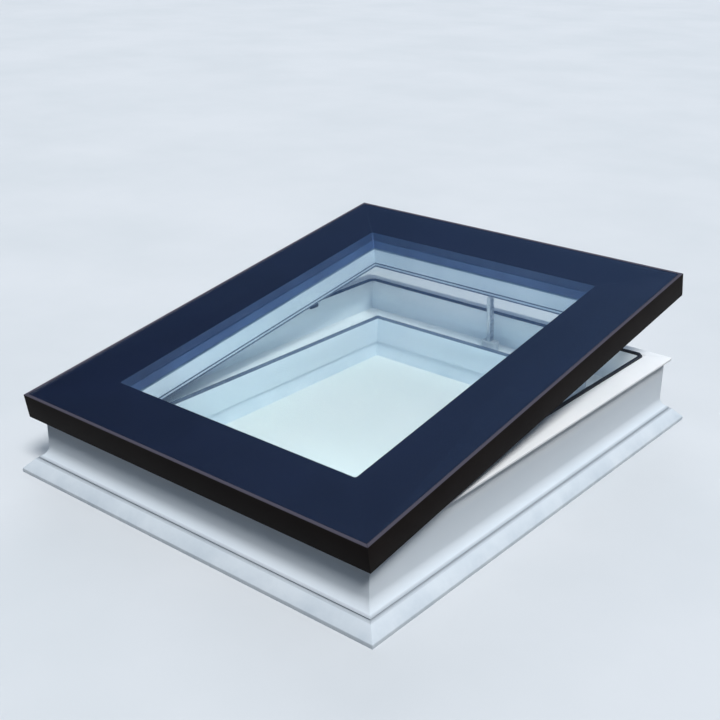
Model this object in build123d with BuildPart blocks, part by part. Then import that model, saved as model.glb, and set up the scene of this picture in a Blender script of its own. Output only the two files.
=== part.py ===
from build123d import *
import os
from math import cos, radians, sin

# Hinged flat-roof skylight on its kerb frame, shown held open by its chain.
# X runs along the hinges, Y from the hinge side to the opening side and Z up.
# The origin is the middle of the foot's underside.
# An inset is measured inward from the outer edge of the foot, a height from its underside.
# Sizes of the sash are those of the closed sash, and its plane is turned to the open position.

os.makedirs("parts", exist_ok=True)

# Plan
sash_width = 900
sash_length = 1100
foot_projection = 20
base_width = sash_width + 2 * foot_projection
base_length = sash_length + 2 * foot_projection

# Section of the kerb frame
foot_edge = 8
foot_round = 1
ridge_round = 1.5
ridge_inset = 22
ridge_height = 31
groove_width = 2.4
groove_depth = 4.5
cove_setback = 2
cove_height = 28
neck_inset = 42
rim_inset = 29
rim_gap = 5.8
rim_edge_thickness = 6
rim_undercut = 7
rim_rise = 8
rim_corner_radius = 7
rim_chamfer = 1
rebate_inset = 83
gasket_seat_width = 9
gasket_seat_depth = 2
trough_height = 86
nib_inset = 167
nib_width = 8
nib_rise = 18
lining_rebate_height = 42
lining_rebate_depth = 6

# Seals and blocks of the kerb
rim_gasket_width = 8
rim_gasket_height = 5.3
rim_gasket_cut = 12
rim_gasket_round = 1.2
nib_gasket_height = 6
nib_gasket_bead = 2.5
block_length = 24
block_reach = 8
block_height = 11
block_chamfer = 3
block_place = 250

# Roof fixings through the trough
fixing_inset = 125
fixing_radius = 4
side_fixing_inset = 220
end_fixing_inset = 220

# Opening of the sash
opening_angle = 9.6
hinge_inset = 89
hinge_rise = 32
hinge_side_inset = 170

# Section of the sash
skirt_height = 54
cover_thickness = 2
cover_round = 1
lip_width = 7
hem_width = 6
cover_leg_inset = 100
bond_thickness = 3
flange_inset = 60
flange_thickness = 10.8
sash_outer_inset = 95
sash_gap = 0.7
sash_chamfer = 2
glass_pocket_inset = 134.5
glass_shelf_rise = 44
sash_inner_inset = 158
lip_seal_rise = 4
lip_seal_width = 4
lip_seal_depth = 2

# Glazing
pane_gap = 0.3
outer_pane_thickness = 6
pane_chamfer = 0.5
inner_pane_thickness = 4
enamel_thickness = 0.4
cavity = 20
edge_clearance = 3
spacer_width = 12
spacer_corner_radius = 5
tape_width = 17
tape_thickness = 3
bond_inset = 104
bond_width = 26
rim_bond_inset = 30
rim_bond_width = 12
setting_block_length = 60
setting_block_height = 25
setting_block_side_inset = 330
setting_block_end_inset = 230
base_seal_width = 8
base_seal_height = 4.3

# Hinges
leaf_length = 70
leaf_thickness = 2
leaf_height = 26
leaf_start = 5.5
leaf_corner_radius = 5
knuckle_radius = 4
middle_knuckle = 24
knuckle_gap = 0.4
hinge_pin_radius = 2
hinge_pin_clearance = 0.05
pin_head_radius = 3
pin_head_thickness = 1.5
screw_row = 18
screw_place = 22
screw_sides = 8
screw_radius = 1.9
screw_clearance = 0.1
screw_head_height = 2
screw_head_edge = 0.2
screw_length = 16

# Chain and its drive in the back rail
chain_place = 15
drive_inset = 125
drive_centre = -10
drive_length = 360
drive_width = 50
drive_wall = 2.5
drive_clearance = 0.3
drive_depth = 52
drive_cover_thickness = 2
guide_length = 38
guide_width = 24
outlet_gap = 1
guide_round = 3
passage_length = 12
passage_width = 19.6
link_length = 10
guided_links = 5
stored_links = 3
sprocket_teeth = 9
plate_height = 9
plate_thickness = 2
plate_cut = 2.6
inner_plate_offset = 4.8
roller_radius = 3
roller_sides = 8
tooth_height = 2
tooth_tip_width = 2
tooth_clearance = 0.3
sprocket_thickness = 8
hub_radius = 7
hub_length = 12
shaft_radius = 4
shaft_clearance = 0.05
bearing_radius = 8
bearing_length = 9
shaft_end_gap = 0.5
channel_start = 22
channel_thickness = 2
channel_gap = 1
gearbox_start = 26
gearbox_length = 52
gearbox_side_gap = 1
gearbox_top_gap = 2
gearbox_arm_thickness = 7
gearbox_arm_height = 20
gearbox_round = 2
motor_radius = 17
motor_end_gap = 7.2
motor_boss_radius = 6
motor_boss_length = 4
corner_post = 9
cover_screw_radius = 1.5
cover_screw_head_height = 1.5
cover_screw_length = 14

# Cable way
cable_inset = 20
cable_drop = 26
cable_hole_radius = 6.2
grommet_radius = 5.9
grommet_flange_radius = 9
grommet_flange_thickness = 2
cable_radius = 4

# Chain bracket in the sash
recess_length = 50
recess_inset = 107
recess_width = 36
recess_roof = 5
bracket_length = 46
bracket_width = 32
bracket_thickness = 3
ear_gap = 0.3
ear_thickness = 3
ear_width = 11
head_pin_drop = 7
head_pin_radius = 2.5
head_pin_end = 2
head_width = 10
head_drop = 9
head_foot_width = 17.6
head_foot_height = 3
head_gap = 0.3
bracket_screw_place = 18
bracket_screw_offset = 9

# Heights and places that follow from the sizes above
sash_bottom_height = trough_height + base_seal_height + sash_gap
lip_seal_height = sash_bottom_height + lip_seal_rise
glass_shelf_height = sash_bottom_height + glass_shelf_rise
inner_pane_bottom = glass_shelf_height + tape_thickness
inner_pane_top = inner_pane_bottom + inner_pane_thickness
middle_pane_bottom = inner_pane_top + cavity
middle_pane_top = middle_pane_bottom + inner_pane_thickness
outer_pane_bottom = middle_pane_top + cavity
enamel_bottom = outer_pane_bottom - enamel_thickness
sash_top_height = outer_pane_bottom + outer_pane_thickness
seat_height = enamel_bottom - bond_thickness - cover_thickness
flange_height = seat_height - flange_thickness
rim_height = flange_height - rim_gap
rim_edge_height = rim_height - rim_rise
gasket_seat_inset = rebate_inset - gasket_seat_width
gasket_seat_height = rim_height - gasket_seat_depth
nib_height = trough_height + nib_rise
inner_wall_inset = nib_inset + nib_width
hinge_y = -base_length / 2 + hinge_inset
hinge_height = trough_height + hinge_rise
hinge_places = [side * (base_width / 2 - hinge_side_inset) for side in (-1, 1)]
drive_y = base_length / 2 - drive_inset
pane_edge_inset = foot_projection + lip_width + pane_gap
stepped_pane_inset = glass_pocket_inset + edge_clearance
spacer_inset = sash_inner_inset - spacer_width
recess_height = glass_shelf_height - recess_roof
head_pin_height = recess_height - bracket_thickness - head_pin_drop
outlet_height = head_pin_height - head_drop - outlet_gap
guide_height = outlet_height - trough_height
cable_place = drive_centre + drive_length / 2 - cable_inset
cable_height = trough_height - cable_drop
cover_bottom = trough_height - drive_cover_thickness
drive_floor = trough_height - drive_depth

# Planes of the open sash and of the leaning chain
hinge_point = Vector(0, hinge_y, hinge_height)
sash_plane = Plane(
    origin=hinge_point - hinge_point.rotate(Axis.X, opening_angle),
    x_dir=(1, 0, 0),
    z_dir=Vector(0, 0, 1).rotate(Axis.X, opening_angle),
)
sash_up = Axis(sash_plane.origin, sash_plane.z_dir)
outlet_point = Vector(chain_place, drive_y, outlet_height)
head_pin_point = sash_plane.from_local_coords(Vector(chain_place, drive_y, head_pin_height))
chain_direction = (head_pin_point - outlet_point).normalized()
run_length = (head_pin_point - outlet_point).length - head_drop - head_gap - plate_height / 2
run_links = round(run_length / link_length)
chain_pitch = run_length / run_links
pitch_radius = chain_pitch / (2 * sin(radians(180 / sprocket_teeth)))
sprocket_x = chain_place - pitch_radius
sprocket_height = outlet_height - guided_links * chain_pitch
run_plane = Plane(
    origin=outlet_point,
    x_dir=(1, 0, 0),
    z_dir=Vector(1, 0, 0).cross(chain_direction),
)
drive_plane = Plane(
    origin=(sprocket_x, drive_y, sprocket_height),
    x_dir=(1, 0, 0),
    z_dir=(0, -1, 0),
)


def upright(plane, facing, x=0, y=0, z=0):
    """Upright plane that faces the opening side (1) or the hinge side (-1), with its y up."""
    return Plane(
        origin=plane.from_local_coords(Vector(x, y, z)),
        x_dir=-facing * plane.x_dir,
        z_dir=facing * plane.y_dir,
    )


def crosswise(plane, x=0, y=0, z=0):
    """Plane facing along the hinges: its x runs to the opening side and its y is up."""
    return Plane(
        origin=plane.from_local_coords(Vector(x, y, z)),
        x_dir=plane.y_dir,
        z_dir=plane.x_dir,
    )


def underside(plane, x=0, y=0, z=0):
    """Plane facing down: its x runs along the hinges and its y to the hinge side."""
    return Plane(
        origin=plane.from_local_coords(Vector(x, y, z)),
        x_dir=plane.x_dir,
        z_dir=-plane.z_dir,
    )


def section_plane(plane):
    """Plane across the right-hand side: its x is the inset and its y the height."""
    return Plane(
        origin=plane.from_local_coords(Vector(base_width / 2, 0, 0)),
        x_dir=-plane.x_dir,
        z_dir=plane.y_dir,
    )


def foot_route(plane):
    """Rectangle over the edge of the foot, from the middle of the right-hand side."""
    half_width = base_width / 2
    half_length = base_length / 2
    with BuildLine(plane) as route:
        Polyline(
            (half_width, 0),
            (half_width, half_length),
            (-half_width, half_length),
            (-half_width, -half_length),
            (half_width, -half_length),
            (half_width, 0),
        )
    return route.wire()


def ring(plane, outer_inset, inner_inset):
    """Flat ring between two insets."""
    with BuildSketch(plane) as flat:
        Rectangle(base_width - 2 * outer_inset, base_length - 2 * outer_inset)
        Rectangle(base_width - 2 * inner_inset, base_length - 2 * inner_inset, mode=Mode.SUBTRACT)
    return flat.sketch


def rounded_ring(plane, outer_inset, inner_inset, radius):
    """Flat ring whose inner corners are rounded."""
    with BuildSketch(plane) as flat:
        Rectangle(base_width - 2 * outer_inset, base_length - 2 * outer_inset)
        RectangleRounded(
            base_width - 2 * inner_inset,
            base_length - 2 * inner_inset,
            radius,
            mode=Mode.SUBTRACT,
        )
    return flat.sketch


def sheet(plane, inset):
    """Flat rectangle at an inset."""
    with BuildSketch(plane) as flat:
        Rectangle(base_width - 2 * inset, base_length - 2 * inset)
    return flat.sketch


def disc(plane, radius, *places):
    """Round spots of one radius at some places of a plane."""
    with BuildSketch(plane) as flat:
        with Locations(*places):
            Circle(radius)
    return flat.sketch


def facets(plane, radius, sides, *places):
    """Regular polygons of one size at some places of a plane."""
    with BuildSketch(plane) as flat:
        with Locations(*places):
            RegularPolygon(radius, sides)
    return flat.sketch


def block(plane, length, width, *places):
    """Rectangles of one size at some places of a plane."""
    with BuildSketch(plane) as flat:
        with Locations(*places):
            Rectangle(length, width)
    return flat.sketch


def leaf_outline(plane, spans):
    """Outline of a hinge leaf over its knuckles, with the hinge's middle as origin."""
    with BuildSketch(plane) as outline:
        with Locations((0, leaf_start + leaf_height / 2)):
            RectangleRounded(leaf_length, leaf_height, leaf_corner_radius)
        with Locations((0, leaf_start + leaf_corner_radius / 2)):
            Rectangle(leaf_length, leaf_corner_radius)
        for start, end in spans:
            with Locations(((start + end) / 2, (leaf_start - knuckle_radius) / 2)):
                Rectangle(end - start, leaf_start + knuckle_radius)
    return outline.sketch


def knuckle_section(plane, side):
    """Section of a knuckle that curls from a leaf on one side of the pin."""
    leaf_face = hinge_inset - rebate_inset if side < 0 else sash_outer_inset - hinge_inset
    with BuildSketch(plane) as section:
        Circle(knuckle_radius)
        with Locations((side * leaf_face / 2, 0)):
            Rectangle(leaf_face, 2 * knuckle_radius)
        Circle(hinge_pin_radius + hinge_pin_clearance, mode=Mode.SUBTRACT)
    return section.sketch


def screw(radius, head_height, length):
    """Countersunk screw along -Z, with the top of its head at the origin."""
    slant = head_height - screw_head_edge
    with BuildPart() as body:
        with BuildSketch():
            RegularPolygon(radius + slant, screw_sides, major_radius=False)
        extrude(amount=-head_height)
        chamfer(body.faces().sort_by(Axis.Z)[0].edges(), slant)
        with BuildSketch(Plane.XY.offset(-head_height)):
            RegularPolygon(radius, screw_sides, major_radius=False)
        extrude(amount=head_height - length)
    return body.part


def spots(plane, places):
    """Places on a plane as locations that keep its direction."""
    return [plane.location * Location((x, y, 0)) for x, y in places]


def link_plates(plane, pins, first, inner):
    """Side plates of every second link along a row of pins, starting from one of them."""
    with BuildSketch(plane) as plates:
        for start, end in list(zip(pins, pins[1:]))[(first + inner) % 2 :: 2]:
            link = Vector(*end) - Vector(*start)
            middle = (Vector(*start) + Vector(*end)) / 2
            with Locations((middle.X, middle.Y)):
                Rectangle(
                    link.length + plate_height,
                    plate_height,
                    rotation=Vector(1, 0, 0).get_signed_angle(link, Vector(0, 0, 1)),
                )
        chamfer(plates.vertices(), plate_cut)
    return plates.sketch


# Knuckles: two on the fixed leaf, one between them on the moving leaf
outer_knuckles = (
    (-leaf_length / 2, -middle_knuckle / 2 - knuckle_gap),
    (middle_knuckle / 2 + knuckle_gap, leaf_length / 2),
)
inner_knuckles = ((-middle_knuckle / 2, middle_knuckle / 2),)
screw_places = [(x, screw_row) for x in (-screw_place, screw_place)]
bracket_screw_places = [(x, -bracket_screw_offset) for x in (-bracket_screw_place, bracket_screw_place)]

# Faces that the screw heads are level with
rebate_front = -base_length / 2 + rebate_inset
sash_front = -base_length / 2 + sash_outer_inset
frame_leaf_faces = [
    upright(Plane.XY, 1, place, rebate_front + leaf_thickness, hinge_height) for place in hinge_places
]
sash_leaf_faces = [
    upright(sash_plane, -1, place, sash_front - leaf_thickness, hinge_height) for place in hinge_places
]
plate_underside = underside(sash_plane, chain_place, drive_y, recess_height - bracket_thickness)

# Screws of the hinges and the bracket, screws of the drive's lid, and the holes they fit
wood_screw = screw(screw_radius, screw_head_height, screw_length)
wood_screw_hole = screw(
    screw_radius + screw_clearance, screw_head_height, screw_length + screw_clearance
)
lid_screw = screw(cover_screw_radius, cover_screw_head_height, cover_screw_length)
lid_screw_hole = screw(
    cover_screw_radius + screw_clearance,
    cover_screw_head_height,
    cover_screw_length + screw_clearance,
)

# Roof fixings: two on each long side and two on each end
fixing_x = base_width / 2 - fixing_inset
fixing_y = base_length / 2 - fixing_inset
fixing_places = [
    (side * fixing_x, end * (base_length / 2 - side_fixing_inset)) for side in (-1, 1) for end in (-1, 1)
] + [
    (side * (base_width / 2 - end_fixing_inset), end * fixing_y) for side in (-1, 1) for end in (-1, 1)
]

# Kerb frame
with BuildPart() as kerb_frame:
    with BuildSketch(section_plane(Plane.XY)) as kerb_section:
        with BuildLine():
            foot = Polyline(
                (0, 0),
                (0, foot_edge),
                (ridge_inset, ridge_height),
                (ridge_inset + groove_depth, ridge_height),
                (ridge_inset + groove_depth, ridge_height + groove_width),
                (ridge_inset + cove_setback, ridge_height + groove_width),
            )
            cove_top = (neck_inset, ridge_height + cove_height)
            TangentArc(cove_top, foot @ 1, tangent=(0, -1))
            Polyline(
                cove_top,
                (neck_inset, rim_edge_height - rim_edge_thickness - rim_undercut),
                (rim_inset + rim_chamfer, rim_edge_height - rim_edge_thickness),
                (rim_inset, rim_edge_height - rim_edge_thickness + rim_chamfer),
                (rim_inset, rim_edge_height - rim_chamfer),
                (rim_inset + rim_chamfer, rim_edge_height),
                (gasket_seat_inset, rim_height),
                (gasket_seat_inset, gasket_seat_height),
                (rebate_inset, gasket_seat_height),
                (rebate_inset, trough_height),
                (nib_inset, trough_height),
                (nib_inset, nib_height),
                (inner_wall_inset, nib_height),
                (inner_wall_inset, lining_rebate_height),
                (inner_wall_inset - lining_rebate_depth, lining_rebate_height),
                (inner_wall_inset - lining_rebate_depth, 0),
                (0, 0),
            )
        make_face()
        foot_corner = kerb_section.vertices().sort_by_distance((0, foot_edge))[0]
        fillet(foot_corner, foot_round)
        ridge_corner = kerb_section.vertices().sort_by_distance((ridge_inset, ridge_height))[0]
        fillet(ridge_corner, ridge_round)
    sweep(path=foot_route(Plane.XY), transition=Transition.RIGHT)
    # rounded corners of the rim
    with BuildSketch(Plane.XY.offset(rim_edge_height - rim_edge_thickness - rim_undercut)):
        Rectangle(base_width, base_length)
        RectangleRounded(
            base_width - 2 * rim_inset,
            base_length - 2 * rim_inset,
            rim_corner_radius,
            mode=Mode.SUBTRACT,
        )
    extrude(amount=rim_height, mode=Mode.SUBTRACT)
    # roof fixings
    extrude(disc(Plane.XY, fixing_radius, *fixing_places), amount=trough_height, mode=Mode.SUBTRACT)
    # pocket of the drive
    extrude(
        block(Plane.XY.offset(trough_height), drive_length, drive_width, (drive_centre, drive_y)),
        amount=-drive_depth,
        mode=Mode.SUBTRACT,
    )
    # cable way from the pocket to the inner wall
    extrude(
        disc(upright(Plane.XY, -1, cable_place, drive_y, cable_height), cable_hole_radius, (0, 0)),
        amount=inner_wall_inset - drive_inset,
        mode=Mode.SUBTRACT,
    )
    # holes of the hinge screws
    for face in frame_leaf_faces:
        with Locations(*spots(face, screw_places)):
            add(wood_screw_hole, mode=Mode.SUBTRACT)
kerb_frame.part.label = "kerb_frame"
export_step(kerb_frame.part, "parts/kerb_frame.step")

# Seal round the inner edge of the rim, with its corners cut off
with BuildPart() as rim_gasket:
    with BuildSketch(Plane.XY.offset(gasket_seat_height)) as gasket_ring:
        gasket_inset = rebate_inset - rim_gasket_width
        Rectangle(base_width - 2 * gasket_inset, base_length - 2 * gasket_inset)
        chamfer(gasket_ring.vertices(), rim_gasket_cut)
        with BuildSketch(mode=Mode.SUBTRACT) as gasket_hole:
            Rectangle(base_width - 2 * rebate_inset, base_length - 2 * rebate_inset)
            chamfer(gasket_hole.vertices(), rim_gasket_cut - rim_gasket_width / 2)
    extrude(amount=rim_gasket_height)
    fillet(rim_gasket.faces().sort_by(Axis.Z)[-1].edges(), radius=rim_gasket_round)
rim_gasket.part.label = "rim_gasket"
export_step(rim_gasket.part, "parts/rim_gasket.step")

# Seal on top of the nib
with BuildPart() as nib_gasket:
    extrude(ring(Plane.XY.offset(nib_height), nib_inset, inner_wall_inset), amount=nib_gasket_height)
    chamfer(nib_gasket.faces().sort_by(Axis.Z)[-1].edges(), length=nib_gasket_bead)
nib_gasket.part.label = "nib_gasket"
export_step(nib_gasket.part, "parts/nib_gasket.step")

# Locating blocks on the rebate of the two long sides
with BuildPart() as locating_blocks:
    block_x = base_width / 2 - rebate_inset - block_reach / 2
    extrude(
        block(
            Plane.XY.offset(gasket_seat_height - block_height),
            block_reach,
            block_length,
            (-block_x, block_place),
            (block_x, block_place),
        ),
        amount=block_height,
    )
    for side in (-1, 1):
        inner_edges = locating_blocks.edges().filter_by(Axis.Y).filter_by_position(
            Axis.X,
            side * (block_x - block_reach / 2) - 1,
            side * (block_x - block_reach / 2) + 1,
        )
        chamfer(inner_edges, length=block_chamfer)
locating_blocks.part.label = "locating_blocks"
export_step(locating_blocks.part, "parts/locating_blocks.step")

# Fixed leaves of the hinges, on the front wall of the rebate
with BuildPart() as hinge_frame_leaves:
    for place, face in zip(hinge_places, frame_leaf_faces):
        extrude(leaf_outline(face, outer_knuckles), amount=-leaf_thickness)
        for start, end in outer_knuckles:
            extrude(
                knuckle_section(crosswise(Plane.XY, place + start, hinge_y, hinge_height), -1),
                amount=end - start,
            )
        with Locations(*spots(face, screw_places)):
            add(wood_screw_hole, mode=Mode.SUBTRACT)
hinge_frame_leaves.part.label = "hinge_frame_leaves"
export_step(hinge_frame_leaves.part, "parts/hinge_frame_leaves.step")

with BuildPart() as hinge_frame_screws:
    for face in frame_leaf_faces:
        with Locations(*spots(face, screw_places)):
            add(wood_screw)
hinge_frame_screws.part.label = "hinge_frame_screws"
export_step(hinge_frame_screws.part, "parts/hinge_frame_screws.step")

# Pins with a head at their right-hand end
with BuildPart() as hinge_pins:
    for place in hinge_places:
        knuckle_end = crosswise(Plane.XY, place + leaf_length / 2, hinge_y, hinge_height)
        extrude(disc(knuckle_end, hinge_pin_radius, (0, 0)), amount=-leaf_length)
        extrude(disc(knuckle_end, pin_head_radius, (0, 0)), amount=pin_head_thickness)
hinge_pins.part.label = "hinge_pins"
export_step(hinge_pins.part, "parts/hinge_pins.step")

# Box of the chain drive, open at the top, with the shaft's bearing and the chain's channel
drive_inner_width = drive_width - 2 * drive_clearance - 2 * drive_wall
drive_inner_length = drive_length - 2 * drive_clearance - 2 * drive_wall
drive_inner_front = drive_y - drive_inner_width / 2
drive_inner_left = drive_centre - drive_inner_length / 2
box_floor = drive_floor + drive_wall
post_places = [
    (
        drive_centre + side * (drive_inner_length - corner_post) / 2,
        drive_y + end * (drive_inner_width - corner_post) / 2,
    )
    for side in (-1, 1)
    for end in (-1, 1)
]
with BuildPart() as drive_housing:
    extrude(
        block(
            Plane.XY.offset(drive_floor),
            drive_inner_length + 2 * drive_wall,
            drive_inner_width + 2 * drive_wall,
            (drive_centre, drive_y),
        ),
        amount=cover_bottom - drive_floor,
    )
    extrude(
        block(
            Plane.XY.offset(box_floor), drive_inner_length, drive_inner_width, (drive_centre, drive_y)
        ),
        amount=cover_bottom - box_floor,
        mode=Mode.SUBTRACT,
    )
    extrude(
        block(Plane.XY.offset(box_floor), corner_post, corner_post, *post_places),
        amount=cover_bottom - box_floor,
    )
    with Locations(*spots(Plane.XY.offset(trough_height), post_places)):
        add(lid_screw_hole, mode=Mode.SUBTRACT)
    # bearing of the sprocket's shaft
    bearing_plane = upright(Plane.XY, 1, sprocket_x, drive_inner_front, sprocket_height)
    extrude(disc(bearing_plane, bearing_radius, (0, 0)), amount=bearing_length)
    extrude(
        disc(bearing_plane, shaft_radius + shaft_clearance, (0, 0)),
        amount=bearing_length,
        mode=Mode.SUBTRACT,
    )
    # plate over the channel that the slack chain runs back into
    channel_height = sprocket_height - pitch_radius + plate_height / 2 + channel_gap
    channel_length = sprocket_x - channel_start - drive_inner_left
    extrude(
        block(
            Plane.XY.offset(channel_height),
            channel_length,
            drive_inner_width,
            (drive_inner_left + channel_length / 2, drive_y),
        ),
        amount=channel_thickness,
    )
    # way out for the cable
    cable_plane = upright(Plane.XY, -1, cable_place, drive_inner_front, cable_height)
    extrude(disc(cable_plane, cable_hole_radius, (0, 0)), amount=drive_wall, mode=Mode.SUBTRACT)
drive_housing.part.label = "drive_housing"
export_step(drive_housing.part, "parts/drive_housing.step")

# Lid of the box, level with the floor of the trough
with BuildPart() as drive_cover:
    extrude(
        block(
            Plane.XY.offset(cover_bottom),
            drive_length - 2 * drive_clearance,
            drive_width - 2 * drive_clearance,
            (drive_centre, drive_y),
        ),
        amount=drive_cover_thickness,
    )
    extrude(
        block(
            Plane.XY.offset(cover_bottom), passage_length, passage_width, (chain_place, drive_y)
        ),
        amount=drive_cover_thickness,
        mode=Mode.SUBTRACT,
    )
    with Locations(*spots(Plane.XY.offset(trough_height), post_places)):
        add(lid_screw_hole, mode=Mode.SUBTRACT)
drive_cover.part.label = "drive_cover"
export_step(drive_cover.part, "parts/drive_cover.step")

with BuildPart() as drive_cover_screws:
    with Locations(*spots(Plane.XY.offset(trough_height), post_places)):
        add(lid_screw)
drive_cover_screws.part.label = "drive_cover_screws"
export_step(drive_cover_screws.part, "parts/drive_cover_screws.step")

# Guide block that the chain comes out of
with BuildPart() as outlet_guide:
    extrude(
        block(Plane.XY.offset(trough_height), guide_length, guide_width, (chain_place, drive_y)),
        amount=guide_height,
    )
    fillet(outlet_guide.edges().filter_by(Axis.Z), radius=guide_round)
    chamfer(outlet_guide.faces().sort_by(Axis.Z)[-1].edges(), length=guide_round / 2)
    extrude(
        block(Plane.XY.offset(trough_height), passage_length, passage_width, (chain_place, drive_y)),
        amount=guide_height,
        mode=Mode.SUBTRACT,
    )
outlet_guide.part.label = "outlet_guide"
export_step(outlet_guide.part, "parts/outlet_guide.step")

# Gearbox: a block beside the chain, with an arm that carries the far end of the shaft
gearbox_width = drive_inner_width - 2 * gearbox_side_gap
arm_face = drive_y + gearbox_width / 2 - gearbox_arm_thickness
with BuildPart() as drive_gearbox:
    extrude(
        block(
            Plane.XY.offset(box_floor),
            gearbox_length,
            gearbox_width,
            (gearbox_start + gearbox_length / 2, drive_y),
        ),
        amount=cover_bottom - gearbox_top_gap - box_floor,
    )
    fillet(drive_gearbox.edges().filter_by(Axis.Z), radius=gearbox_round)
    arm_plane = upright(Plane.XY, 1, sprocket_x, arm_face, sprocket_height)
    arm_length = gearbox_start + gearbox_length / 2 - sprocket_x
    with BuildSketch(arm_plane):
        with Locations((-arm_length / 2, 0)):
            Rectangle(arm_length, gearbox_arm_height)
        Circle(gearbox_arm_height / 2)
    extrude(amount=gearbox_arm_thickness)
    extrude(
        disc(arm_plane, shaft_radius + shaft_clearance, (0, 0)),
        amount=gearbox_arm_thickness,
        mode=Mode.SUBTRACT,
    )
drive_gearbox.part.label = "drive_gearbox"
export_step(drive_gearbox.part, "parts/drive_gearbox.step")

# Motor on the gearbox's end
with BuildPart() as drive_motor:
    motor_end = gearbox_start + gearbox_length
    motor_room = drive_centre + drive_inner_length / 2 - motor_end
    motor_length = motor_room - motor_boss_length - motor_end_gap
    motor_height = box_floor + motor_radius
    extrude(
        disc(crosswise(Plane.XY, motor_end, drive_y, motor_height), motor_radius, (0, 0)),
        amount=motor_length,
    )
    chamfer(drive_motor.faces().sort_by(Axis.X)[-1].edges(), length=gearbox_round)
    extrude(
        disc(
            crosswise(Plane.XY, motor_end + motor_length, drive_y, motor_height),
            motor_boss_radius,
            (0, 0),
        ),
        amount=motor_boss_length,
    )
drive_motor.part.label = "drive_motor"
export_step(drive_motor.part, "parts/drive_motor.step")

# Chain sprocket with its hub and shaft
sprocket_step = 360 / sprocket_teeth
root_radius = pitch_radius - roller_radius
tooth_width = chain_pitch - 2 * (roller_radius + tooth_clearance)
tooth_middle = pitch_radius * cos(radians(sprocket_step / 2))
with BuildSketch() as tooth:
    with BuildLine(Plane.XY.rotated((0, 0, sprocket_step / 2))):
        Polyline(
            (root_radius / 2, -tooth_width / 2),
            (tooth_middle, -tooth_width / 2),
            (pitch_radius + tooth_height, -tooth_tip_width / 2),
            (pitch_radius + tooth_height, tooth_tip_width / 2),
            (tooth_middle, tooth_width / 2),
            (root_radius / 2, tooth_width / 2),
            close=True,
        )
    make_face()
with BuildPart() as drive_sprocket:
    with BuildSketch(drive_plane.offset(-sprocket_thickness / 2)):
        Circle(root_radius)
        with PolarLocations(0, sprocket_teeth):
            add(tooth.sketch)
        with PolarLocations(pitch_radius, sprocket_teeth):
            RegularPolygon(roller_radius + tooth_clearance, roller_sides, mode=Mode.SUBTRACT)
    extrude(amount=sprocket_thickness)
    extrude(disc(drive_plane.offset(-hub_length / 2), hub_radius, (0, 0)), amount=hub_length)
    shaft_start = drive_inner_front + shaft_end_gap - drive_y
    shaft_end = arm_face + gearbox_arm_thickness - drive_y
    extrude(
        disc(drive_plane.offset(-shaft_end), shaft_radius, (0, 0)), amount=shaft_end - shaft_start
    )
drive_sprocket.part.label = "drive_sprocket"
export_step(drive_sprocket.part, "parts/drive_sprocket.step")

# Chain: the run that leans to the bracket, the guided run and the turn round the sprocket
run_pins = [(0, i * chain_pitch) for i in range(run_links, -1, -1)]
turn_angles = [radians(sprocket_step * i) for i in range(3)]
turn_pins = [(pitch_radius * cos(a), -pitch_radius * sin(a)) for a in turn_angles]
guided_pins = [(pitch_radius, i * chain_pitch) for i in range(guided_links, 0, -1)]
stored_pins = [
    (turn_pins[-1][0] - i * chain_pitch, turn_pins[-1][1]) for i in range(1, stored_links + 1)
]
drive_pins = guided_pins + turn_pins + stored_pins
with BuildPart() as push_chain:
    for plane, pins, first in ((run_plane, run_pins, 0), (drive_plane, drive_pins, run_links % 2)):
        for inner, offset in ((0, inner_plate_offset + plate_thickness), (1, inner_plate_offset)):
            for side in (-1, 1):
                level = side * offset if side > 0 else -offset - plate_thickness
                extrude(
                    link_plates(plane.offset(level), pins, first, inner), amount=plate_thickness
                )
        # rollers reach to the outer plates
        roller_end = inner_plate_offset + plate_thickness
        extrude(
            facets(plane.offset(-roller_end), roller_radius, roller_sides, *pins),
            amount=2 * roller_end,
        )
push_chain.part.label = "push_chain"
export_step(push_chain.part, "parts/push_chain.step")

# Grommet of the cable way
with BuildPart() as cable_grommet:
    inner_wall_y = base_length / 2 - inner_wall_inset
    wall_plane = upright(Plane.XY, -1, cable_place, inner_wall_y, cable_height)
    extrude(disc(wall_plane, grommet_flange_radius, (0, 0)), amount=grommet_flange_thickness)
    extrude(disc(wall_plane, grommet_radius, (0, 0)), amount=inner_wall_y - drive_inner_front)
    extrude(
        disc(wall_plane.offset(grommet_flange_thickness), cable_radius, (0, 0)),
        amount=inner_wall_y - drive_inner_front - grommet_flange_thickness,
        mode=Mode.SUBTRACT,
    )
cable_grommet.part.label = "cable_grommet"
export_step(cable_grommet.part, "parts/cable_grommet.step")

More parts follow.
